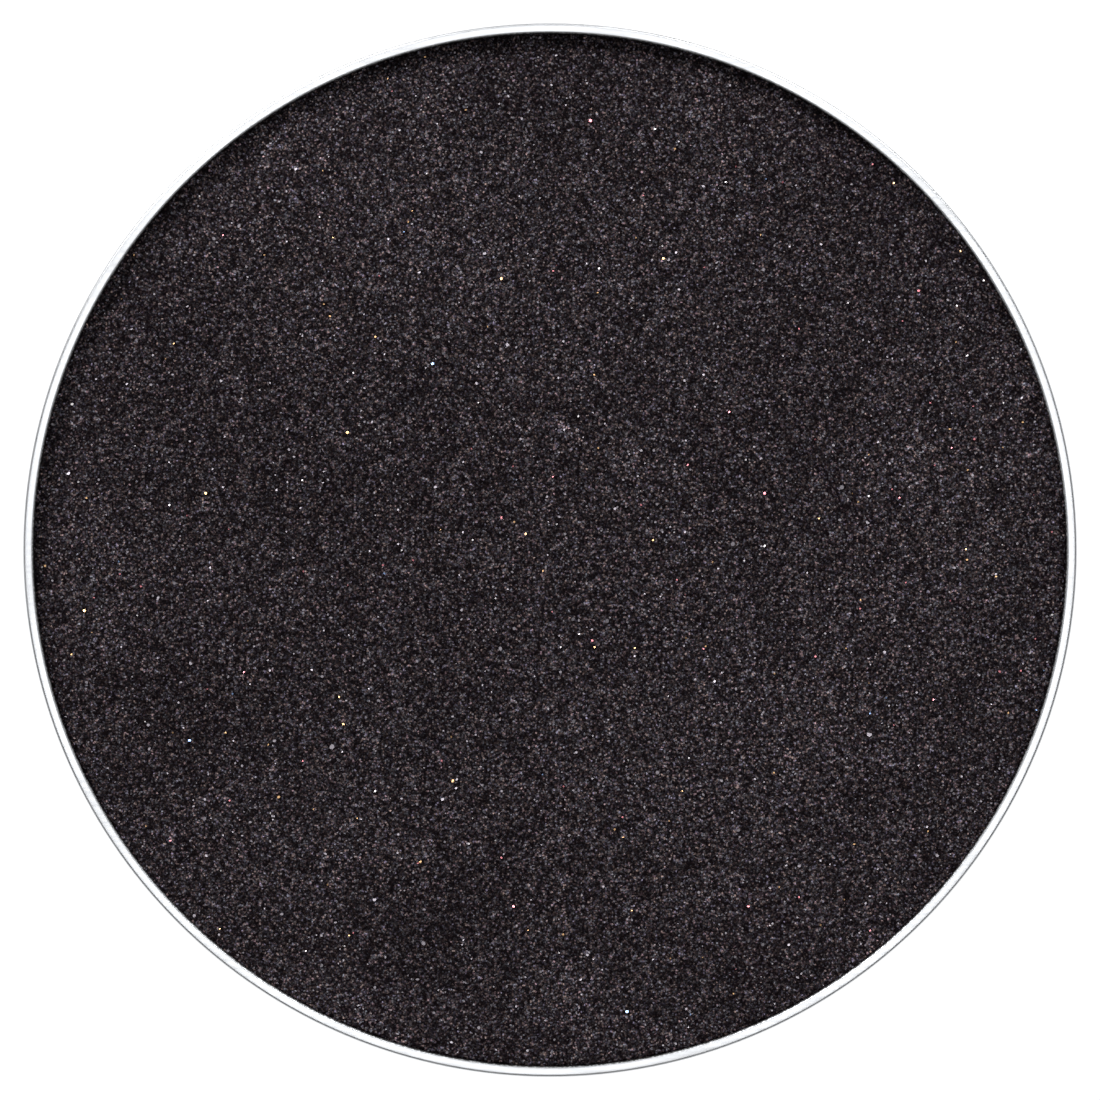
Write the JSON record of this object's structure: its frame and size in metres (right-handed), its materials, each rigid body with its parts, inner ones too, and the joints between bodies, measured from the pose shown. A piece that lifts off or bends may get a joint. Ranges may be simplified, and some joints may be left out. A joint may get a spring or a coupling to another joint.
{
  "type": "pressed powder pan",
  "caption": "Round shallow metal pan that holds a cake of black shimmer powder, with a magnet and a paper label in its base recess, to drop into a palette.",
  "frame": {"origin": "centre of the foot ring, on the plane that the pan rests on", "axes": "+Z along the pan's axis, out of the powder's face; the object is round, so +X and +Y are free"},
  "size_m": [0.026, 0.026, 0.0035],
  "materials": {
    "pan_aluminium": "drawn sheet, satin, with fine draw lines round the wall",
    "pressed_powder": "matte black pressed powder with fine silver pearl and a few coloured glints",
    "adhesive_film": "thin translucent transfer adhesive",
    "flexible_magnet": "calendered ferrite-filled rubber, dull",
    "label_paper": "uncoated white paper"
  },
  "bodies": {
    "root": {"pan": "pan_aluminium", "powder_cake": "pressed_powder", "magnet_adhesive": "adhesive_film", "magnet": "flexible_magnet", "base_label": "label_paper"}
  },
  "joints": []
}
